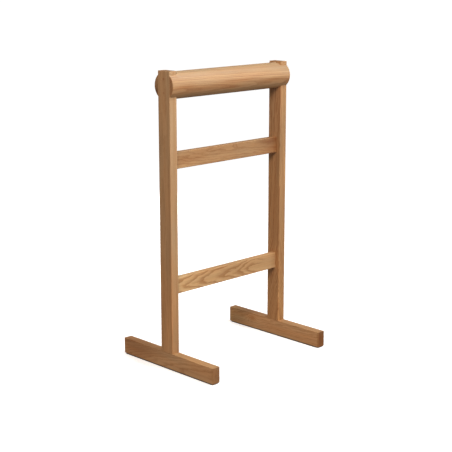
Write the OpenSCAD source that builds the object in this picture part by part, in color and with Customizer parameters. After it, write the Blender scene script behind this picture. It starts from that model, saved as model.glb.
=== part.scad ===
// Free-standing saddle rack in solid oak.
// Two trestles, each a post on a foot, carry a round saddle bar and two flat rails.
// X runs along the saddle bar, Y along the feet and Z is up, in millimetres.
// The origin is on the floor, under the middle of the rack.

/* [Overall] */
// Height from the floor to the top of the posts
overall_h = 900; // [860:1:940]
// Length along the saddle bar, over the outer faces of the posts
overall_l = 496; // [440:1:560]
// Length of each foot, front to back
foot_l = 400; // [360:1:460]

/* [Timber sections] */
// Thickness of the posts and the feet, along the saddle bar
frame_t = 28; // [26:1:34]
// Width of the posts, front to back
post_w = 50; // [48:1:56]
// Height of the feet
foot_h = 50; // [48:1:56]
// Thickness of the rails, front to back
rail_t = 20; // [18:1:24]
// Height of the rails
rail_h = 50; // [46:1:56]
// Radius that eases the edges of the timber
edge_r = 2; // [1:0.5:3]

/* [Saddle bar] */
// Diameter of the saddle bar
bar_d = 80; // [76:1:90]
// How far the posts stand above the top of the saddle bar
post_rise = 3.5; // [2.5:0.5:8]

/* [Rails] */
// Height of the middle of the upper rail above the floor
upper_rail_z = 636.5; // [560:0.5:680]
// Height of the middle of the lower rail above the floor
lower_rail_z = 256.5; // [200:0.5:320]

/* [Felt strips] */
// Thickness of the felt strips under the feet
strip_t = 3; // [2:0.5:4]
// Width of the felt strips
strip_w = 24; // [18:1:24]
// Distance from the end of a foot to its felt strip
strip_end_gap = 5; // [2:1:12]
// Diameter of the holes in a felt strip, through which the bolt heads are reached
strip_hole_d = 14; // [13.5:0.5:16]

/* [Joints] */
// Distance between the two dowels of a rail joint
dowel_spacing = 26; // [20:1:30]
// Depth of a dowel in the post
dowel_in_post = 15; // [12:1:18]
// Distance between the two screws of a saddle bar joint
screw_spacing = 40; // [30:1:50]
// Distance between the two bolts of a foot joint
bolt_spacing = 26; // [22:1:28]
// Depth of the counterbores under the feet
counterbore_depth = 16; // [10:1:20]

/* [Hidden] */
$fn = 64;

// Sides of the rack, as the sign of X
left = -1;
right = 1;
// The two members of a pair of fasteners
pair = [-1, 1];

// Colours
oak = [0.74, 0.54, 0.35];
oak_light = [0.79, 0.60, 0.41];
beech = [0.86, 0.72, 0.55];
zinc = [0.72, 0.73, 0.75];
brass = [0.80, 0.66, 0.36];
felt = [0.27, 0.23, 0.20];

// Planes along X: outer face, inner face and middle of a trestle
outer_x = overall_l / 2;
inner_x = outer_x - frame_t;
middle_x = outer_x - frame_t / 2;
// Heights
foot_top = strip_t + foot_h;
bar_z = overall_h - post_rise - bar_d / 2;
post_h = overall_h - foot_top;
// Extra length of a cutter beyond the face that it opens
through = 1;

// Fluted beech dowel, 8 x 36 mm
dowel_d = 8;
dowel_l = 36;
dowel_chamfer = 1;
dowel_flutes = 16;
flute_r = 0.35;
// Room for glue at each end of a dowel
glue_gap = 1;
dowel_in_rail = dowel_l - dowel_in_post;

// Countersunk wood screw, 4.5 x 70 mm
screw_l = 70;
screw_r = 2.25;
screw_root_r = 1.55;
screw_head_r = 4;
screw_head_h = 3;
screw_plain_l = 30;
screw_pitch = 2.2;
screw_tip_l = 4;
screw_point_r = 0.2;
screw_drive_d = 3.6;
screw_drive_depth = 1.8;
// Plug over a screw head
plug_d = 2 * screw_head_r;
plug_l = 6;
plug_chamfer = 0.4;

// Socket-head bolt, M6 x 50 mm, with its washer and its threaded insert
bolt_l = 50;
bolt_r = 3;
bolt_root_r = 2.5;
bolt_head_r = 5;
bolt_head_h = 6;
bolt_head_chamfer = 0.5;
bolt_thread_l = 24;
bolt_pitch = 1;
bolt_socket_d = 5.77;
bolt_socket_depth = 3;
bolt_hole_r = 3.3;
washer_r = 6;
washer_hole_r = 3.2;
washer_t = 1.6;
counterbore_r = 6.5;
insert_r = 5;
insert_root_r = 4.3;
insert_l = 15;
insert_pitch = 2.5;
insert_socket_d = 7.6;
insert_socket_depth = 3;

// Height of the bearing face of a foot bolt's head
bolt_seat_z = strip_t + counterbore_depth - washer_t;
// Radius of the corners of a felt strip
strip_corner_r = 3;
strip_l = foot_l - 2 * strip_end_gap;

// Points down the flank of a thread, from z, for a number of turns
function thread(z, root, crest, pitch, turns) = [
    for (i = [0 : turns - 1], at_crest = [0, 1])
        [at_crest ? crest : root, z - (i + at_crest / 2) * pitch]
];

// Rectangle with round corners
module eased_rectangle(a, b, r) {
    square([a - 2 * r, b], center = true);
    square([a, b - 2 * r], center = true);
    for (x = pair, y = pair)
        translate([x * (a / 2 - r), y * (b / 2 - r)])
            circle(r);
}

// Bar of timber along Z with its four long edges eased, standing on z = 0
module planed_bar(a, b, l) {
    linear_extrude(l)
        eased_rectangle(a, b, edge_r);
}

// Timber block with all its twelve edges eased, centred
module eased_block(x, y, z) {
    intersection() {
        translate([0, 0, -z / 2])
            planed_bar(x, y, z);
        rotate([90, 0, 0])
            translate([0, 0, -y / 2])
                planed_bar(x, z, y);
        rotate([90, 0, 90])
            translate([0, 0, -x / 2])
                planed_bar(y, z, x);
    }
}

// Moves what is drawn for the right side to the given side
module on_side(side) {
    mirror([side == left ? 1 : 0, 0, 0])
        children();
}

// Places a pair along Z at a height, pointing out of the right outer face
module bar_joint_pair(x) {
    for (i = pair)
        translate([x, 0, bar_z + i * screw_spacing / 2])
            rotate([0, 90, 0])
                children();
}

// Places a pair along Y in the middle of the right trestle, pointing up
module foot_joint_pair(z) {
    for (i = pair)
        translate([middle_x, i * bolt_spacing / 2, z])
            children();
}

// Places a pair at the right end of a rail, starting inside the post and pointing into the rail
module rail_joint_pair(rail_z, depth) {
    for (i = pair)
        translate([inner_x + depth, 0, rail_z + i * dowel_spacing / 2])
            rotate([0, -90, 0])
                children();
}

// Holes of one rail joint, in the post and in the rail
module dowel_holes(rail_z) {
    rail_joint_pair(rail_z, dowel_in_post + glue_gap)
        cylinder(h = dowel_l + 2 * glue_gap, d = dowel_d);
}

// Holes of one saddle bar joint: plug, countersink, shank and thread
module screw_holes() {
    bar_joint_pair(outer_x - plug_l) {
        cylinder(h = plug_l + through, d = plug_d);
        translate([0, 0, -screw_head_h])
            cylinder(h = screw_head_h, r1 = screw_r, r2 = screw_head_r);
        translate([0, 0, -screw_l])
            cylinder(h = screw_l, r = screw_r);
    }
}

// Foot, with the counterbored bolt holes
module foot(side) {
    color(oak)
        on_side(side)
            difference() {
                translate([middle_x, 0, strip_t + foot_h / 2])
                    eased_block(frame_t, foot_l, foot_h);
                foot_joint_pair(strip_t - through) {
                    cylinder(h = foot_h + 2 * through, r = bolt_hole_r);
                    cylinder(h = counterbore_depth + through, r = counterbore_r);
                }
            }
}

// Post, eased at the top and square at the bottom, with the holes of all its joints
module post(side) {
    color(oak)
        on_side(side)
            difference() {
                translate([middle_x, 0, overall_h - (post_h + edge_r) / 2])
                    eased_block(frame_t, post_w, post_h + edge_r);
                translate([inner_x - through, -post_w, foot_top - post_w])
                    cube([frame_t + 2 * through, 2 * post_w, post_w]);
                foot_joint_pair(foot_top - through)
                    cylinder(h = insert_l + 2 * through, r = insert_r);
                dowel_holes(upper_rail_z);
                dowel_holes(lower_rail_z);
                screw_holes();
            }
}

// Half of the saddle bar's section along its axis, eased at both ends
module bar_profile() {
    r = bar_d / 2;
    translate([0, -outer_x])
        square([r - edge_r, overall_l]);
    translate([0, edge_r - outer_x])
        square([r, overall_l - 2 * edge_r]);
    for (end = pair)
        translate([r - edge_r, end * (outer_x - edge_r)])
            circle(edge_r);
}

// Round saddle bar, slotted at both ends for the posts
module saddle_bar() {
    color(oak)
        difference() {
            translate([0, 0, bar_z])
                rotate([0, 90, 0])
                    rotate_extrude()
                        bar_profile();
            for (side = [left, right])
                on_side(side) {
                    translate([inner_x, -post_w / 2, bar_z - bar_d])
                        cube([frame_t + through, post_w, 2 * bar_d]);
                    screw_holes();
                }
        }
}

// Flat rail between the posts, with its dowel holes
module rail(rail_z) {
    color(oak_light)
        difference() {
            translate([-inner_x, 0, rail_z])
                rotate([90, 0, 90])
                    planed_bar(rail_t, rail_h, 2 * inner_x);
            for (side = [left, right])
                on_side(side)
                    dowel_holes(rail_z);
        }
}

// Fluted dowel along Z with chamfered ends, standing on z = 0
module dowel() {
    r = dowel_d / 2;
    intersection() {
        linear_extrude(dowel_l)
            difference() {
                circle(r);
                for (i = [0 : dowel_flutes - 1])
                    rotate(i * 360 / dowel_flutes)
                        translate([r, 0])
                            circle(flute_r);
            }
        rotate_extrude()
            polygon([
                [0, 0],
                [r - dowel_chamfer, 0],
                [r, dowel_chamfer],
                [r, dowel_l - dowel_chamfer],
                [r - dowel_chamfer, dowel_l],
                [0, dowel_l]
            ]);
    }
}

// The two dowels of one rail joint
module rail_dowels(side, rail_z) {
    color(beech)
        on_side(side)
            rail_joint_pair(rail_z, dowel_in_post)
                dowel();
}

// Countersunk wood screw, head at z = 0 and point down
module wood_screw() {
    thread_l = screw_l - screw_plain_l - screw_tip_l;
    turns = floor(thread_l / screw_pitch);
    difference() {
        rotate_extrude()
            polygon(concat(
                [[0, 0], [screw_head_r, 0], [screw_r, -screw_head_h], [screw_r, -screw_plain_l]],
                thread(-screw_plain_l, screw_root_r, screw_r, screw_pitch, turns),
                [[screw_root_r, screw_tip_l - screw_l], [screw_point_r, -screw_l], [0, -screw_l]]
            ));
        translate([0, 0, -screw_drive_depth])
            cylinder(h = screw_drive_depth + through, d = screw_drive_d, $fn = 6);
    }
}

// The two screws that hold the saddle bar to one post
module bar_screws(side) {
    color(zinc)
        on_side(side)
            bar_joint_pair(outer_x - plug_l)
                wood_screw();
}

// The two oak plugs over the screw heads, flush with the post
module plugs(side) {
    color(oak_light)
        on_side(side)
            bar_joint_pair(outer_x - plug_l) {
                cylinder(h = plug_l - plug_chamfer, d = plug_d);
                translate([0, 0, plug_l - plug_chamfer])
                    cylinder(h = plug_chamfer, d1 = plug_d, d2 = plug_d - 2 * plug_chamfer);
            }
}

// Socket-head bolt, bearing face of the head at z = 0 and thread up
module socket_bolt() {
    turns = floor(bolt_thread_l / bolt_pitch);
    difference() {
        rotate_extrude()
            polygon(concat(
                [[0, bolt_l], [bolt_root_r, bolt_l]],
                thread(bolt_l, bolt_root_r, bolt_r, bolt_pitch, turns),
                [
                    [bolt_r, bolt_l - bolt_thread_l],
                    [bolt_r, 0],
                    [bolt_head_r, 0],
                    [bolt_head_r, bolt_head_chamfer - bolt_head_h],
                    [bolt_head_r - bolt_head_chamfer, -bolt_head_h],
                    [0, -bolt_head_h]
                ]
            ));
        translate([0, 0, -bolt_head_h - through])
            cylinder(h = bolt_socket_depth + through, d = bolt_socket_d, $fn = 6);
    }
}

// The two bolts that hold one post on its foot
module foot_bolts(side) {
    color(zinc)
        on_side(side)
            foot_joint_pair(bolt_seat_z)
                socket_bolt();
}

// The two washers under those bolts' heads
module washers(side) {
    color(zinc)
        on_side(side)
            foot_joint_pair(bolt_seat_z)
                difference() {
                    cylinder(h = washer_t, r = washer_r);
                    translate([0, 0, -through])
                        cylinder(h = washer_t + 2 * through, r = washer_hole_r);
                }
}

// Threaded insert, its driven end at z = 0
module threaded_insert() {
    turns = floor(insert_l / insert_pitch);
    difference() {
        rotate_extrude()
            polygon(concat(
                [[0, insert_l]],
                thread(insert_l, insert_root_r, insert_r, insert_pitch, turns),
                [[insert_root_r, 0], [0, 0]]
            ));
        translate([0, 0, -through])
            cylinder(h = insert_l + 2 * through, r = bolt_r);
        translate([0, 0, -through])
            cylinder(h = insert_socket_depth + through, d = insert_socket_d, $fn = 6);
    }
}

// The two inserts in the bottom end of one post
module inserts(side) {
    color(brass)
        on_side(side)
            foot_joint_pair(foot_top)
                threaded_insert();
}

// Felt strip under the whole length of one foot, with a hole at each bolt head
module felt_strip(side) {
    color(felt)
        on_side(side)
            difference() {
                translate([middle_x, 0, 0])
                    linear_extrude(strip_t)
                        eased_rectangle(strip_w, strip_l, strip_corner_r);
                foot_joint_pair(-through)
                    cylinder(h = strip_t + 2 * through, d = strip_hole_d);
            }
}

foot(left);  // left_foot
foot(right);  // right_foot
post(left);  // left_post
post(right);  // right_post
saddle_bar();
rail(upper_rail_z);  // upper_rail
rail(lower_rail_z);  // lower_rail
rail_dowels(left, upper_rail_z);  // upper_left_dowels
rail_dowels(right, upper_rail_z);  // upper_right_dowels
rail_dowels(left, lower_rail_z);  // lower_left_dowels
rail_dowels(right, lower_rail_z);  // lower_right_dowels
bar_screws(left);  // left_bar_screws
bar_screws(right);  // right_bar_screws
plugs(left);  // left_plugs
plugs(right);  // right_plugs
foot_bolts(left);  // left_foot_bolts
foot_bolts(right);  // right_foot_bolts
washers(left);  // left_washers
washers(right);  // right_washers
inserts(left);  // left_inserts
inserts(right);  // right_inserts
felt_strip(left);  // left_strip
felt_strip(right);  // right_strip
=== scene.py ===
"""Looks of the oak saddle rack: procedural timber, hardware and felt, a studio floor, lights and a camera.

Lengths are in metres in the CAD model's frame, except in the materials, which work in millimetres.
"""

import math

import bmesh
import bpy
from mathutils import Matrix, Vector, geometry, noise


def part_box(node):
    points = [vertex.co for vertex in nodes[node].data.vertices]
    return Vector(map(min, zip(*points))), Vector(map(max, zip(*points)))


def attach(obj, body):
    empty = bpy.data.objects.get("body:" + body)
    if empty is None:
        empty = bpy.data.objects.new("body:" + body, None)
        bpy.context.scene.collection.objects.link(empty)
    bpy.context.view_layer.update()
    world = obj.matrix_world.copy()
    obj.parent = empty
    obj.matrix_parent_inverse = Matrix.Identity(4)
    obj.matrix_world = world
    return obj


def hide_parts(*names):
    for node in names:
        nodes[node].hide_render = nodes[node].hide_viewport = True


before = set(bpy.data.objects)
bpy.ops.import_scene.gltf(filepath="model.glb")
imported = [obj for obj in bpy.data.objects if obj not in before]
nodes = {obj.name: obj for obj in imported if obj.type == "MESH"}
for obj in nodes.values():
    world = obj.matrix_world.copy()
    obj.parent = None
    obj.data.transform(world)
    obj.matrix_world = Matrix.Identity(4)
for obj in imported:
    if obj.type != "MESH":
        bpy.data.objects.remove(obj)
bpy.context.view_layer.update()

MM_PER_M = 1000.0


# ---------------------------------------------------------------------------
# Node graphs
# ---------------------------------------------------------------------------
class Graph:
    """Builds the node tree of one material. An input may be another node's output, a number or a colour."""

    def __init__(self, name):
        self.material = bpy.data.materials.new(name)
        self.material.use_nodes = True
        self.tree = self.material.node_tree
        self.shader = self.tree.nodes["Principled BSDF"]

    def node(self, kind, **settings):
        made = self.tree.nodes.new(kind)
        for key, value in settings.items():
            setattr(made, key, value)
        return made

    def feed(self, socket, value):
        if isinstance(value, bpy.types.NodeSocket):
            self.tree.links.new(value, socket)
        else:
            socket.default_value = value

    def math(self, operation, *values, clamp=False):
        made = self.node("ShaderNodeMath", operation=operation, use_clamp=clamp)
        for socket, value in zip(made.inputs, values):
            self.feed(socket, value)
        return made.outputs[0]

    def vector(self, operation, *values):
        made = self.node("ShaderNodeVectorMath", operation=operation)
        for socket, value in zip(made.inputs, values):
            self.feed(socket, value)
        return made.outputs["Value" if operation in ("LENGTH", "DOT_PRODUCT", "DISTANCE") else "Vector"]

    def combine(self, x, y, z):
        made = self.node("ShaderNodeCombineXYZ")
        for socket, value in zip(made.inputs, (x, y, z)):
            self.feed(socket, value)
        return made.outputs[0]

    def separate(self, vector):
        made = self.node("ShaderNodeSeparateXYZ")
        self.feed(made.inputs[0], vector)
        return made.outputs[:]

    def noise(self, vector, size, detail=2.0, roughness=0.5, colour=False):
        """Noise whose features are about size long on each axis, in the vector's own unit."""
        made = self.node("ShaderNodeTexNoise")
        self.feed(made.inputs["Vector"], self.vector("DIVIDE", vector, size))
        made.inputs["Scale"].default_value = 1.0
        made.inputs["Detail"].default_value = detail
        made.inputs["Roughness"].default_value = roughness
        return made.outputs["Color" if colour else "Fac"]

    def ramp(self, factor, stops, interpolation="LINEAR"):
        """Colour ramp over stops of (position, value); a value is a number or an RGB colour."""
        made = self.node("ShaderNodeValToRGB")
        ramp = made.color_ramp
        ramp.interpolation = interpolation
        while len(ramp.elements) < len(stops):
            ramp.elements.new(1.0)
        for element, (position, value) in zip(ramp.elements, stops):
            element.position = position
            element.color = (*value, 1.0) if isinstance(value, tuple) else (value, value, value, 1.0)
        self.feed(made.inputs["Fac"], factor)
        return made.outputs["Color"]

    def mix(self, factor, a, b, blend="MIX"):
        made = self.node("ShaderNodeMix", data_type="RGBA", blend_type=blend)
        self.feed(made.inputs["Factor"], factor)
        for name, value in (("A", a), ("B", b)):
            socket = next(s for s in made.inputs if s.name == name and s.type == "RGBA")
            self.feed(socket, (*value, 1.0) if isinstance(value, tuple) else value)
        return next(s for s in made.outputs if s.type == "RGBA")

    def remap(self, value, low, high, to_low=0.0, to_high=1.0, smooth=False):
        made = self.node("ShaderNodeMapRange")
        if smooth:
            made.interpolation_type = "SMOOTHSTEP"
        for socket, number in zip(made.inputs[:5], (value, low, high, to_low, to_high)):
            self.feed(socket, number)
        return made.outputs["Result"]

    def bump(self, height, distance, strength=1.0):
        made = self.node("ShaderNodeBump")
        made.inputs["Strength"].default_value = strength
        made.inputs["Distance"].default_value = distance
        self.feed(made.inputs["Height"], height)
        self.feed(self.shader.inputs["Normal"], made.outputs["Normal"])


# ---------------------------------------------------------------------------
# Oak
# ---------------------------------------------------------------------------
# Order of the object's axes that puts the two cross axes first and the grain last
AXES = {"X": (1, 2, 0), "Y": (0, 2, 1), "Z": (0, 1, 2)}
# How dark a year ring is from its start at 0 to its end at 1
RING_PROFILE = ((0.0, 0.30), (0.08, 1.0), (0.26, 0.80), (0.50, 0.22), (0.75, 0.0), (0.93, 0.0), (1.0, 0.30))


def shade(colour, *gains):
    """The colour with each channel scaled by its own gain."""
    return tuple(min(1.0, c * gain) for c, gain in zip(colour, gains))


def swirl(at, reach, bulge):
    """A spot where the rings bulge by some mm, as beside a knot. at and reach are (across, across, along)."""
    return (*at, *reach, bulge)


def stain_and_painted_light(at, reach, tint):
    """A spot that multiplies the colour by tint: some are real stains in the wood, others are painted light
    and painted shade. at and reach are (across, across, along).
    """
    return (*at, *reach, tint)


class Board:
    """Where a piece of oak lies in its log. Lengths are in mm from the middle of the piece.

    tone is the wood's mean colour. heart is where the log's heart passes the middle of the piece, in mm
    across it, and lean is how far it drifts per mm of length. A bend changes the lean from some length
    onwards: (length, change, change). ring is the width of a year ring, warp how far the rings wander over
    the piece and ripple how far they wander from place to place. figure is how dark the rings are and runs
    how much broader bands of them stand out. point makes the arches round at 2 and sharper below it. plain
    is the stretch of length over which the figure dies away.
    """

    def __init__(self, tone, heart, lean=(0.0, 0.0), bends=(), ring=3.0, warp=3.0, ripple=4.0, point=2.0,
                 figure=1.0, runs=0.5, swirls=(), stains_and_painted_light=(), plain=None, seed=0.0):
        self.tone = tone
        self.heart = heart
        self.lean = lean
        self.bends = bends
        self.ring = ring
        self.warp = warp
        self.ripple = ripple
        self.point = point
        self.figure = figure
        self.runs = runs
        self.swirls = swirls
        self.stains_and_painted_light = stains_and_painted_light
        self.plain = plain
        self.seed = seed


def blob(g, place, spot):
    """1 at the middle of a spot, falling smoothly to 0 around it."""
    reach = g.vector("DIVIDE", g.vector("SUBTRACT", place, spot[:3]), spot[3:])
    return g.math("EXPONENT", g.math("MULTIPLY", g.vector("DOT_PRODUCT", reach, reach), -1.0))


def ring_radius(g, board, place, shifted):
    """Distance from the log's heart at each place, in mm, with the wandering that draws the figure."""
    a, b, length = g.separate(place)
    slow = g.vector("SUBTRACT", g.noise(shifted, (70.0, 70.0, 330.0), 1.0, 0.5, colour=True), (0.5, 0.5, 0.5))
    quick = g.vector("SUBTRACT", g.noise(shifted, (12.0, 12.0, 42.0), 2.0, 0.5, colour=True), (0.5, 0.5, 0.5))
    slow = g.vector("MULTIPLY", slow, (board.warp * 4.0,) * 3)
    quick = g.vector("MULTIPLY", quick, (board.ripple,) * 3)
    drift = g.separate(g.vector("ADD", slow, quick))
    sides = []
    for index, across in enumerate((a, b)):
        path = g.math("MULTIPLY_ADD", length, board.lean[index], board.heart[index])
        for bend in board.bends:
            beyond = g.math("MAXIMUM", g.math("SUBTRACT", length, bend[0]), 0.0)
            path = g.math("MULTIPLY_ADD", beyond, bend[1 + index], path)
        side = g.math("ADD", g.math("SUBTRACT", across, path), drift[index])
        sides.append(g.math("POWER", g.math("ABSOLUTE", side), board.point))
    radius = g.math("POWER", g.math("ADD", *sides), 1.0 / board.point)
    for *spot, bulge in board.swirls:
        radius = g.math("MULTIPLY_ADD", blob(g, place, spot), bulge, radius)
    return radius


def oak(name, grain, centre, board, flat_sides=True):
    """Solid oiled oak. grain is the axis along the piece and centre is the piece's middle.

    flat_sides is False for round pieces, which have no eased edges to wear.
    """
    g = Graph(name)
    coords = g.node("ShaderNodeTexCoord")
    first, second, along = AXES[grain]
    local = g.vector("SUBTRACT", coords.outputs["Object"], centre)
    parts = g.separate(g.vector("MULTIPLY", local, (MM_PER_M,) * 3))
    place = g.combine(parts[first], parts[second], parts[along])
    shifted = g.vector("ADD", place, (board.seed * 131.0, board.seed * 71.0, board.seed * 977.0))

    # Year rings of uneven width and strength: a dark porous band, then paler late wood
    radius = ring_radius(g, board, place, shifted)
    uneven = g.noise(g.combine(radius, board.seed * 17.0, 0.0), (board.ring * 3.0, 1.0, 1.0), 1.0)
    count = g.math("MULTIPLY_ADD", radius, 1.0 / board.ring, g.math("MULTIPLY", uneven, 1.3))
    early = g.ramp(g.math("FRACT", count), RING_PROFILE, "EASE")
    strength = g.noise(g.combine(g.math("FLOOR", count), board.seed * 5.0, 0.0), (1.0, 1.0, 1.0), 0.0)
    band = g.math("MULTIPLY", early, g.remap(strength, 0.3, 0.7, 0.35, 1.0))
    # Good and poor years come in runs, which show as broader bands
    runs = g.noise(g.combine(radius, board.seed * 29.0, 0.0), (board.ring * 2.2, 1.0, 1.0), 1.0)
    runs = g.remap(runs, 0.3, 0.7, -0.5, 0.5)
    if board.plain:
        fade = g.remap(parts[along], *board.plain, 1.0, 0.15, smooth=True)
        band = g.math("MULTIPLY", band, fade)
        runs = g.math("MULTIPLY", runs, fade)

    # Open pores, fibres, streaks and rays
    pore_noise = g.noise(shifted, (0.42, 0.42, 8.0), 2.0, 0.6)
    pores = g.math("MULTIPLY", g.remap(pore_noise, 0.55, 0.68), g.math("MULTIPLY_ADD", band, 0.75, 0.25))
    fibres = g.noise(shifted, (0.9, 0.9, 60.0), 3.0, 0.65)
    streaks = g.noise(shifted, (5.0, 5.0, 200.0), 2.0, 0.6)
    rays = g.remap(g.noise(shifted, (3.2, 3.2, 11.0), 1.0, 0.4), 0.60, 0.74)

    # Slow changes of tone and warmth over the piece
    tone = g.noise(shifted, (34.0, 34.0, 240.0), 2.0, 0.5)
    warmth = g.noise(g.vector("ADD", shifted, (311.0, 173.0, 53.0)), (28.0, 28.0, 170.0), 2.0, 0.5)

    # Cut ends take more oil and go darker
    facing = g.separate(coords.outputs["Normal"])[along]
    end_grain = g.remap(g.math("ABSOLUTE", facing), 0.55, 0.9, smooth=True)

    light = shade(board.tone, 1.14, 1.16, 1.18)
    dark = shade(board.tone, 0.70, 0.52, 0.38)
    depth = g.math("MULTIPLY", band, 0.62 * board.figure)
    depth = g.math("MULTIPLY_ADD", runs, 0.7 * board.runs, depth)
    depth = g.math("ADD", depth, g.remap(streaks, 0.25, 0.75, -0.10, 0.26))
    depth = g.math("ADD", depth, g.remap(fibres, 0.25, 0.75, -0.08, 0.12), clamp=True)
    colour = g.mix(depth, light, dark)
    colour = g.mix(g.math("MULTIPLY", pores, 0.5), colour, shade(board.tone, 0.34, 0.26, 0.20))
    colour = g.mix(g.math("MULTIPLY", rays, 0.12), colour, shade(board.tone, 1.25, 1.3, 1.4))
    cast = g.ramp(warmth, ((0.3, (0.97, 1.02, 1.06)), (0.7, (1.03, 0.97, 0.90))))
    colour = g.mix(1.0, colour, cast, "MULTIPLY")
    colour = g.mix(1.0, colour, g.ramp(tone, ((0.3, 0.92), (0.7, 1.08))), "MULTIPLY")
    # Spots of real stain, and spots of painted light and painted shade on single faces
    for *spot, tint in board.stains_and_painted_light:
        colour = g.mix(blob(g, place, spot), colour, g.mix(1.0, colour, tint, "MULTIPLY"))
    colour = g.mix(end_grain, colour, g.mix(1.0, colour, (0.74, 0.66, 0.60), "MULTIPLY"))
    if flat_sides:
        # Handling polishes the eased edges and lightens them a little
        nx, ny, nz = g.separate(g.vector("ABSOLUTE", coords.outputs["Normal"]))
        turned = g.math("SUBTRACT", 1.0, g.math("MAXIMUM", nx, g.math("MAXIMUM", ny, nz)))
        worn = g.math("MULTIPLY", g.remap(turned, 0.05, 0.25), g.remap(tone, 0.35, 0.6, 0.3, 1.0))
        colour = g.mix(g.math("MULTIPLY", worn, 0.15), colour, shade(board.tone, 1.3, 1.4, 1.5))
    g.feed(g.shader.inputs["Base Color"], colour)

    # Pores and end grain are rougher than the late wood; oil lies a little unevenly
    rough = g.math("MULTIPLY_ADD", pores, 0.22, g.remap(tone, 0.3, 0.7, 0.40, 0.48))
    rough = g.math("ADD", rough, g.math("MULTIPLY", band, 0.05))
    rough = g.math("ADD", rough, g.math("MULTIPLY", end_grain, 0.16), clamp=True)
    g.feed(g.shader.inputs["Roughness"], rough)

    height = g.math("MULTIPLY", pores, -0.8)
    height = g.math("ADD", height, g.math("MULTIPLY", band, -0.25))
    height = g.math("ADD", height, g.math("MULTIPLY", fibres, 0.12))
    g.bump(height, 0.00012)
    return g.material


# ---------------------------------------------------------------------------
# Hardware, dowels and felt
# ---------------------------------------------------------------------------
def metal(name, colour, roughness):
    """Plated or turned metal with fine tool marks and a few dull spots."""
    g = Graph(name)
    place = g.vector("MULTIPLY", g.node("ShaderNodeTexCoord").outputs["Object"], (MM_PER_M,) * 3)
    marks = g.noise(place, (0.25, 0.25, 0.08), 2.0)
    spots = g.noise(place, (4.0, 4.0, 4.0), 3.0)
    dull = tuple(0.72 * c for c in colour)
    g.feed(g.shader.inputs["Base Color"], g.mix(g.remap(spots, 0.42, 0.7), colour, dull))
    g.shader.inputs["Metallic"].default_value = 1.0
    g.feed(g.shader.inputs["Roughness"], g.remap(spots, 0.3, 0.7, roughness, roughness + 0.18))
    g.bump(marks, 0.00002)
    return g.material


def beech(name):
    """Plain beech, with the short dark flecks of its rays."""
    g = Graph(name)
    place = g.vector("MULTIPLY", g.node("ShaderNodeTexCoord").outputs["Object"], (MM_PER_M,) * 3)
    grain = g.noise(place, (40.0, 0.7, 0.7), 3.0)
    flecks = g.remap(g.noise(place, (2.5, 0.35, 0.35), 1.0), 0.62, 0.7)
    colour = g.mix(g.remap(grain, 0.3, 0.7), (0.66, 0.45, 0.27), (0.54, 0.34, 0.19))
    g.feed(g.shader.inputs["Base Color"], g.mix(g.math("MULTIPLY", flecks, 0.5), colour, (0.33, 0.18, 0.09)))
    g.feed(g.shader.inputs["Roughness"], g.remap(grain, 0.3, 0.7, 0.55, 0.68))
    g.bump(grain, 0.00005)
    return g.material


def felt(name):
    """Dense wool felt: tangled fibres in two shades, rough all over."""
    g = Graph(name)
    place = g.vector("MULTIPLY", g.node("ShaderNodeTexCoord").outputs["Object"], (MM_PER_M,) * 3)
    tangle = g.noise(place, (0.5, 0.5, 0.3), 4.0, 0.7)
    clumps = g.noise(place, (4.0, 4.0, 2.0), 2.0)
    # The felt is near black, partly its own colour and partly painted shade: the strip also stands in for the
    # contact shadow under each foot.
    colour = g.mix(g.remap(tangle, 0.3, 0.7), (0.030, 0.024, 0.019), (0.085, 0.070, 0.056))
    colour = g.mix(1.0, colour, g.ramp(clumps, ((0.3, 0.8), (0.7, 1.15))), "MULTIPLY")
    g.feed(g.shader.inputs["Base Color"], colour)
    g.feed(g.shader.inputs["Roughness"], g.remap(tangle, 0.3, 0.7, 0.88, 1.0))
    g.shader.inputs["Sheen Weight"].default_value = 0.25
    g.bump(tangle, 0.0003)
    return g.material


# ---------------------------------------------------------------------------
# Felt strips
# ---------------------------------------------------------------------------
STRIP_CORNER = 0.003
STRIP_SWELL = 0.0014
STRIP_LAYERS = 8
STRIP_STEP = 0.0025
STRIP_CORNER_STEPS = 6
STRIP_HOLE_STEPS = 32
STRIP_HOLE_RADIUS = 0.007
BOLT_HEAD_RADIUS = 0.005
# How far the cut edges wander, how many times per metre, and the seed that makes every run wander alike
STRIP_FUZZ = 0.0003
STRIP_FUZZ_RATE = 350.0
STRIP_FUZZ_SEED = 5


def strip_outline(low, high, grow):
    """Plan of the strip, a rectangle with round corners, grown outwards by some distance."""
    inner_x = (high.x - low.x) / 2 - STRIP_CORNER
    inner_y = (high.y - low.y) / 2 - STRIP_CORNER
    centre = (low + high) / 2
    points = []
    for quarter, (side_x, side_y) in enumerate(((1, 1), (-1, 1), (-1, -1), (1, -1))):
        for step in range(STRIP_CORNER_STEPS + 1):
            angle = (quarter + step / STRIP_CORNER_STEPS) * math.pi / 2
            x = centre.x + side_x * inner_x + (STRIP_CORNER + grow) * math.cos(angle)
            y = centre.y + side_y * inner_y + (STRIP_CORNER + grow) * math.sin(angle)
            points.append(Vector((x, y)))
    walked = []
    for start, end in zip(points, points[1:] + points[:1]):
        pieces = max(1, round((end - start).length / STRIP_STEP))
        walked += [start.lerp(end, step / pieces) for step in range(pieces)]
    return walked


def strip_hole(centre_x, centre_y, grow):
    """Plan of the hole at one bolt head, which closes a little as the felt swells."""
    radius = STRIP_HOLE_RADIUS - grow
    angles = [2 * math.pi * step / STRIP_HOLE_STEPS for step in range(STRIP_HOLE_STEPS)]
    return [Vector((centre_x + radius * math.cos(a), centre_y + radius * math.sin(a))) for a in angles]


def fuzzy(point, z):
    """The point at height z, moved a little, as the cut edge of felt wanders."""
    place = Vector((point.x, point.y, z))
    nudge = noise.noise_vector(place * STRIP_FUZZ_RATE) * STRIP_FUZZ
    return Vector((place.x + nudge.x, place.y + nudge.y, z))


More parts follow.
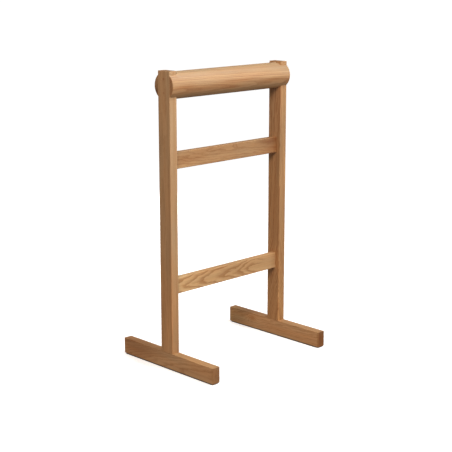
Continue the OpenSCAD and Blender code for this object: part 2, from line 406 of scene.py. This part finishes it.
def build_strip(side, material):
    """Felt strip squeezed under one foot, so that its edges swell, with a hole at each bolt head. The swollen
    near-black edges also stand in for the contact shadow under the foot.
    """
    noise.seed_set(STRIP_FUZZ_SEED)
    low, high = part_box(f"{side}_strip")
    bolts_low, bolts_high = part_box(f"{side}_foot_bolts")
    centre_x = (low.x + high.x) / 2
    hole_y = (bolts_high.y - bolts_low.y) / 2 - BOLT_HEAD_RADIUS
    shape = bmesh.new()
    layers = []
    for layer in range(STRIP_LAYERS + 1):
        turn = math.pi * layer / STRIP_LAYERS
        z = low.z + (high.z - low.z) * (1 - math.cos(turn)) / 2
        grow = STRIP_SWELL * math.sin(turn)
        outlines = [strip_outline(low, high, grow)]
        outlines += [strip_hole(centre_x, sign * hole_y, grow / 2) for sign in (-1, 1)]
        layers.append([[shape.verts.new(fuzzy(point, z)) for point in outline] for outline in outlines])
    for below, above in zip(layers, layers[1:]):
        for lower, upper in zip(below, above):
            for i in range(len(lower)):
                wall = shape.faces.new((lower[i - 1], lower[i], upper[i], upper[i - 1]))
                wall.smooth = True
    for layer in (layers[0], layers[-1]):
        corners = [vert for outline in layer for vert in outline]
        for triangle in geometry.tessellate_polygon([[vert.co for vert in outline] for outline in layer]):
            shape.faces.new([corners[i] for i in triangle])
    bmesh.ops.recalc_face_normals(shape, faces=shape.faces)
    mesh = bpy.data.meshes.new(f"{side}_felt_strip")
    shape.to_mesh(mesh)
    shape.free()
    mesh.materials.append(material)
    piece = bpy.data.objects.new(f"{side}_felt_strip", mesh)
    bpy.context.scene.collection.objects.link(piece)
    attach(piece, "root")
    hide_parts(f"{side}_strip")


# ---------------------------------------------------------------------------
# Which piece gets which finish
# ---------------------------------------------------------------------------
def middle(node):
    """Middle of a CAD node's box."""
    low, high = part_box(node)
    return (low + high) / 2


def dress(node, material):
    """Gives a CAD node its final material."""
    for slot in nodes[node].material_slots:
        slot.material = material


# Each member is cut from a board of its own, so that no two show the same figure. The cross axes are Y and Z
# for the bar, rails and plugs, X and Z for the feet, and X and Y for the posts.
BOARDS = {
    "left_foot": ("Y", Board(
        tone=(0.584, 0.351, 0.171), heart=(86.0, -40.0), lean=(0.02, -0.19), ring=3.6, warp=3.5, figure=0.9,
        # The first spot darkens and warms the rear end. The next two are painted shade: the whole top face is
        # darkened, and its rear part is darker still as painted shadow of the post.
        runs=0.9, stains_and_painted_light=(stain_and_painted_light((-14.0, 0.0, 150.0), (60.0, 60.0, 110.0), (0.77, 0.66, 0.58)),
                          stain_and_painted_light((0.0, 27.0, 0.0), (60.0, 4.0, 400.0), (0.63, 0.58, 0.50)),
                          stain_and_painted_light((0.0, 27.0, 150.0), (60.0, 4.0, 60.0), (0.95, 0.88, 0.80)),
                          stain_and_painted_light((0.0, 0.0, -201.0), (60.0, 60.0, 5.0), (0.68, 0.62, 0.52))), seed=41.0)),
    "right_foot": ("Y", Board(
        tone=(0.630, 0.364, 0.172), heart=(80.0, 50.0), lean=(-0.02, -0.10), ring=3.4, warp=6.0, ripple=7.0,
        figure=0.9, runs=0.7, swirls=(swirl((-14.0, 6.0, 92.0), (14.0, 14.0, 18.0), 6.0),),
        stains_and_painted_light=(stain_and_painted_light((-14.0, 7.0, 92.0), (10.0, 10.0, 13.0), (0.86, 0.74, 0.62)),
                stain_and_painted_light((-14.0, 0.0, 180.0), (60.0, 60.0, 70.0), (0.96, 1.00, 0.95)),
                # Painted shade: the whole top face is darkened, and its rear part is darker still as painted
                # shadow of the post.
                stain_and_painted_light((0.0, 27.0, 0.0), (60.0, 4.0, 400.0), (0.61, 0.54, 0.47)),
                stain_and_painted_light((0.0, 27.0, 140.0), (60.0, 4.0, 75.0), (0.69, 0.62, 0.59)),
                stain_and_painted_light((0.0, 0.0, -201.0), (60.0, 60.0, 5.0), (0.46, 0.31, 0.12))), seed=12.0)),
    "left_post": ("Z", Board(
        tone=(0.370, 0.228, 0.114), heart=(90.0, 20.0), lean=(0.01, -0.03), ring=2.8, warp=3.5, figure=0.6,
        # The first spot warms the lower part of the post. Painted light: the lower part of the -X face is
        # lightened, and the whole -Y face is lightened as the lit side. The last spot is painted shade,
        # darkening the -Y face towards the bottom.
        runs=1.1, stains_and_painted_light=(stain_and_painted_light((0.0, 0.0, -380.0), (60.0, 60.0, 260.0), (1.03, 0.95, 0.87)),
                          stain_and_painted_light((-16.0, 0.0, -400.0), (4.0, 60.0, 270.0), (1.47, 1.42, 1.36)),
                          stain_and_painted_light((0.0, -26.0, 0.0), (60.0, 3.0, 900.0), (1.22, 1.23, 1.27)),
                          stain_and_painted_light((0.0, -26.0, -380.0), (60.0, 3.0, 180.0), (0.97, 0.91, 0.85))), seed=53.0)),
    "right_post": ("Z", Board(
        tone=(0.425, 0.238, 0.106), heart=(100.0, 50.0), lean=(0.0, -0.20), bends=((-150.0, 0.0, 0.16),),
        ring=3.4, warp=4.0, ripple=6.0, figure=1.5, runs=1.3,
        # Painted light lightens the lower part of the -X face, and painted shade darkens the -X face towards
        # the top, under the bar. Painted light lightens the whole -Y face a little, and painted shade warms
        # it towards the bottom. The last spot is a darker band across the -Y face.
        stains_and_painted_light=(stain_and_painted_light((-16.0, 0.0, -400.0), (4.0, 60.0, 190.0), (1.36, 1.29, 1.20)),
                stain_and_painted_light((-16.0, 0.0, 300.0), (4.0, 60.0, 150.0), (0.86, 0.87, 0.95)),
                stain_and_painted_light((0.0, -26.0, 0.0), (60.0, 3.0, 900.0), (1.05, 1.05, 1.05)),
                stain_and_painted_light((0.0, -26.0, -400.0), (60.0, 3.0, 200.0), (1.03, 0.94, 0.78)),
                stain_and_painted_light((0.0, -26.0, 170.0), (60.0, 3.0, 60.0), (0.88, 0.88, 0.86))), seed=44.0)),
    "saddle_bar": ("X", Board(
        tone=(0.458, 0.280, 0.143), heart=(-68.0, -30.0), lean=(-0.027, -0.012), ring=4.4, warp=2.0,
        ripple=4.0, figure=1.1, runs=0.6,
        # Painted shade along the lower front of the bar; the next five spots are dark streaks in the figure.
        stains_and_painted_light=(stain_and_painted_light((-38.0, -11.0, 0.0), (11.0, 11.0, 400.0), (0.96, 0.90, 0.85)),
                stain_and_painted_light((-40.0, 1.0, 35.0), (7.0, 4.5, 70.0), (0.86, 0.72, 0.60)),
                stain_and_painted_light((-40.0, -4.0, -195.0), (8.0, 6.0, 40.0), (0.85, 0.72, 0.60)),
                stain_and_painted_light((-38.0, -12.0, -115.0), (8.0, 5.0, 60.0), (0.91, 0.81, 0.72)),
                stain_and_painted_light((-36.0, -17.0, -20.0), (8.0, 5.0, 80.0), (0.92, 0.83, 0.76)),
                stain_and_painted_light((-39.0, -8.0, 160.0), (8.0, 7.0, 70.0), (0.84, 0.70, 0.58)),
                # A slightly darker patch over the upper front of the right half.
                stain_and_painted_light((-20.0, 30.0, 219.0), (22.0, 22.0, 190.0), (0.95, 0.97, 0.98)),
                # Painted shade along the upper front, then a painted highlight near the top: lighter and
                # cooler, as sheen.
                stain_and_painted_light((-28.0, 28.0, 0.0), (9.0, 9.0, 600.0), (0.92, 0.91, 0.88)),
                stain_and_painted_light((-12.0, 38.0, 0.0), (9.0, 6.0, 600.0), (0.96, 1.04, 1.10)),
                stain_and_painted_light((0.0, 0.0, -250.0), (90.0, 90.0, 4.0), (0.84, 0.88, 0.86)),
                stain_and_painted_light((33.0, -18.0, -250.0), (12.0, 12.0, 5.0), (0.45, 0.38, 0.32))), seed=45.0)),
    "upper_rail": ("X", Board(
        tone=(0.386, 0.216, 0.097), heart=(-90.0, 25.0), lean=(0.02, -0.03), ring=4.0, warp=6.0, ripple=7.0,
        figure=1.1, runs=1.4, swirls=(swirl((-10.0, 19.0, 33.0), (7.0, 7.0, 9.0), 3.0),),
        stains_and_painted_light=(stain_and_painted_light((-10.0, 3.0, -150.0), (60.0, 6.0, 110.0), (0.88, 0.82, 0.76)),
                stain_and_painted_light((-10.0, -18.0, -175.0), (60.0, 6.0, 50.0), (1.20, 1.30, 1.38)),
                stain_and_painted_light((-10.0, 0.0, 219.0), (60.0, 60.0, 62.0), (0.78, 0.63, 0.52))), seed=36.0)),
    "lower_rail": ("X", Board(
        tone=(0.530, 0.322, 0.150), heart=(-85.0, -8.0), lean=(0.085, -0.02), bends=((140.0, -0.065, 0.0),),
        ring=6.8, warp=3.5, ripple=8.0, point=1.5, figure=1.9, runs=0.4,
        swirls=(swirl((-10.0, 22.0, 106.0), (30.0, 30.0, 36.0), -8.0),),
        stains_and_painted_light=(stain_and_painted_light((-10.0, -4.0, -195.0), (60.0, 60.0, 65.0), (1.20, 1.31, 1.40)),
                stain_and_painted_light((-10.0, 0.0, 219.0), (60.0, 60.0, 60.0), (0.92, 0.87, 0.86))),
        plain=(120.0, 185.0), seed=37.0)),
    "left_plugs": ("X", Board(
        tone=(0.42, 0.242, 0.114), heart=(9.0, 4.0), ring=2.2,
        stains_and_painted_light=(stain_and_painted_light((0.0, -20.0, 0.0), (8.0, 8.0, 30.0), (1.18, 1.28, 1.40)),), seed=8.0)),
    "right_plugs": ("X", Board(tone=(0.42, 0.242, 0.114), heart=(-7.0, 5.0), ring=2.2, seed=9.0)),
}
ROUND_PIECES = ("saddle_bar", "left_plugs", "right_plugs")


def dress_timber():
    """Gives every timber member and plug its own oak."""
    for node, (grain, board) in BOARDS.items():
        dress(node, oak(f"oak_{node}", grain, middle(node), board, node not in ROUND_PIECES))


def dress_hardware():
    """Gives the fasteners and dowels their materials and builds the felt strips."""
    zinc = metal("zinc_plate", (0.62, 0.63, 0.65), 0.28)
    brass = metal("turned_brass", (0.78, 0.57, 0.26), 0.24)
    dowel = beech("beech")
    wool = felt("brown_felt")
    for side in ("left", "right"):
        for part in ("bar_screws", "foot_bolts", "washers"):
            dress(f"{side}_{part}", zinc)
        dress(f"{side}_inserts", brass)
        for rail in ("upper", "lower"):
            dress(f"{rail}_{side}_dowels", dowel)
        build_strip(side, wool)


# ---------------------------------------------------------------------------
# Studio
# ---------------------------------------------------------------------------
FLOOR_HALF = 60.0
# Glow of the floor far away, how much less it is at the rack, and how fast it rises with distance squared
FLOOR_GLOW = 0.83
FLOOR_GLOW_DROP = 0.33
FLOOR_GLOW_RISE = 0.25


def build_floor():
    """Pale studio floor that reads as even white. It sends no light to the rack."""
    mesh = bpy.data.meshes.new("studio_floor")
    corners = [(x * FLOOR_HALF, y * FLOOR_HALF, 0.0) for x, y in ((-1, -1), (1, -1), (1, 1), (-1, 1))]
    mesh.from_pydata(corners, [], [(0, 1, 2, 3)])
    floor = bpy.data.objects.new("studio_floor", mesh)
    bpy.context.scene.collection.objects.link(floor)
    g = Graph("pale_floor")
    g.shader.inputs["Base Color"].default_value = (0.92, 0.92, 0.92, 1.0)
    g.shader.inputs["Roughness"].default_value = 0.9
    g.shader.inputs["Specular IOR Level"].default_value = 0.1
    g.shader.inputs["Emission Color"].default_value = (1.0, 1.0, 1.0, 1.0)
    # The glow makes up for the softboxes' light, which fades away from the rack
    distance = g.vector("LENGTH", g.node("ShaderNodeTexCoord").outputs["Object"])
    far = g.math("MULTIPLY_ADD", g.math("POWER", distance, 2.0), FLOOR_GLOW_RISE, 1.0)
    near = g.math("DIVIDE", 1.0, far)
    glow = g.math("MULTIPLY_ADD", near, -FLOOR_GLOW_DROP, FLOOR_GLOW)
    g.feed(g.shader.inputs["Emission Strength"], glow)
    mesh.materials.append(g.material)
    floor.visible_diffuse = False
    floor.visible_glossy = False


# Light that arrives from each side of the room, as the colour of a soft wall there
ROOM = {
    (1, 0, 0): (0.14, 0.14, 0.14),
    (-1, 0, 0): (0.16, 0.11, 0.09),
    (0, 1, 0): (0.20, 0.20, 0.20),
    (0, -1, 0): (0.77, 0.72, 0.66),
    (0, 0, 1): (0.20, 0.20, 0.20),
    (0, 0, -1): (0.06, 0.06, 0.06),
}


def build_room():
    """A soft room of six tinted walls that lights the object; the camera sees white behind the floor."""
    world = bpy.data.worlds.new("room")
    bpy.context.scene.world = world
    world.use_nodes = True
    tree = world.node_tree
    background = tree.nodes["Background"]
    direction = tree.nodes.new("ShaderNodeTexCoord").outputs["Generated"]
    total = None
    for wall, colour in ROOM.items():
        towards = tree.nodes.new("ShaderNodeVectorMath")
        towards.operation = "DOT_PRODUCT"
        towards.inputs[1].default_value = wall
        tree.links.new(direction, towards.inputs[0])
        positive = tree.nodes.new("ShaderNodeMath")
        positive.operation = "MAXIMUM"
        positive.inputs[1].default_value = 0.0
        tree.links.new(towards.outputs["Value"], positive.inputs[0])
        squared = tree.nodes.new("ShaderNodeMath")
        squared.operation = "POWER"
        squared.inputs[1].default_value = 2.0
        tree.links.new(positive.outputs[0], squared.inputs[0])
        tinted = tree.nodes.new("ShaderNodeVectorMath")
        tinted.operation = "SCALE"
        tinted.inputs[0].default_value = colour
        tree.links.new(squared.outputs[0], tinted.inputs["Scale"])
        if total is None:
            total = tinted.outputs[0]
        else:
            added = tree.nodes.new("ShaderNodeVectorMath")
            added.operation = "ADD"
            tree.links.new(total, added.inputs[0])
            tree.links.new(tinted.outputs[0], added.inputs[1])
            total = added.outputs[0]
    tree.links.new(total, background.inputs["Color"])
    white = tree.nodes.new("ShaderNodeBackground")
    chosen = tree.nodes.new("ShaderNodeMixShader")
    white.inputs["Color"].default_value = (1.0, 1.0, 1.0, 1.0)
    path = tree.nodes.new("ShaderNodeLightPath")
    tree.links.new(path.outputs["Is Camera Ray"], chosen.inputs["Fac"])
    tree.links.new(background.outputs[0], chosen.inputs[1])
    tree.links.new(white.outputs[0], chosen.inputs[2])
    tree.links.new(chosen.outputs[0], tree.nodes["World Output"].inputs["Surface"])


def from_angle(azimuth, elevation):
    """Direction from the object to a viewer; azimuth 0 is in front, at -Y."""
    a = math.radians(azimuth)
    e = math.radians(elevation)
    return Vector((math.sin(a) * math.cos(e), -math.cos(a) * math.cos(e), math.sin(e)))


SOFTBOX_DISTANCE = 2.5
SOFTBOX_SIZE = 0.7
SOFTBOX_AIM = Vector((0.0, 0.0, 0.45))


def softbox(name, azimuth, elevation, power, colour, glossy=True):
    """Square area light aimed at the middle of the rack. One that isn't glossy makes no highlights."""
    light = bpy.data.lights.new(name, "AREA")
    light.shape = "SQUARE"
    light.size = SOFTBOX_SIZE
    light.energy = power
    light.color = colour
    lamp = bpy.data.objects.new(name, light)
    bpy.context.scene.collection.objects.link(lamp)
    back = from_angle(azimuth, elevation)
    lamp.location = SOFTBOX_AIM + back * SOFTBOX_DISTANCE
    lamp.visible_camera = False
    lamp.visible_glossy = glossy
    lamp.rotation_mode = "QUATERNION"
    lamp.rotation_quaternion = back.to_track_quat("Z", "Y")


def build_lights():
    softbox("key_softbox", 10.0, 60.0, 27.0, (0.98, 1.01, 1.00))
    softbox("left_softbox", -55.0, 35.0, 28.5, (1.18, 0.98, 0.84))
    softbox("right_softbox", 60.0, 20.0, 8.8, (1.10, 1.00, 0.90))
    softbox("high_softbox", 60.0, 60.0, 11.5, (0.80, 1.05, 1.25))
    softbox("rear_softbox", 160.0, 4.0, 30.0, (1.05, 1.00, 0.92), glossy=False)


# Where the camera stands and how it is turned, in metres and radians
CAMERA_PLACE = (-2.420, -2.446, 1.205)
CAMERA_TURN = -0.7808
CAMERA_DIP = 0.2285
CAMERA_LENS_MM = 90.7


def build_camera():
    """Camera at the photograph's angle, with no shift and no depth of field."""
    data = bpy.data.cameras.new("camera")
    data.sensor_width = 36.0
    data.lens = CAMERA_LENS_MM
    camera = bpy.data.objects.new("camera", data)
    bpy.context.scene.collection.objects.link(camera)
    camera.location = CAMERA_PLACE
    camera.rotation_euler = (math.pi / 2 - CAMERA_DIP, 0.0, CAMERA_TURN)
    bpy.context.scene.camera = camera
    bpy.context.scene.view_settings.view_transform = "Standard"


build_camera()
build_floor()
build_room()
build_lights()
dress_timber()
dress_hardware()
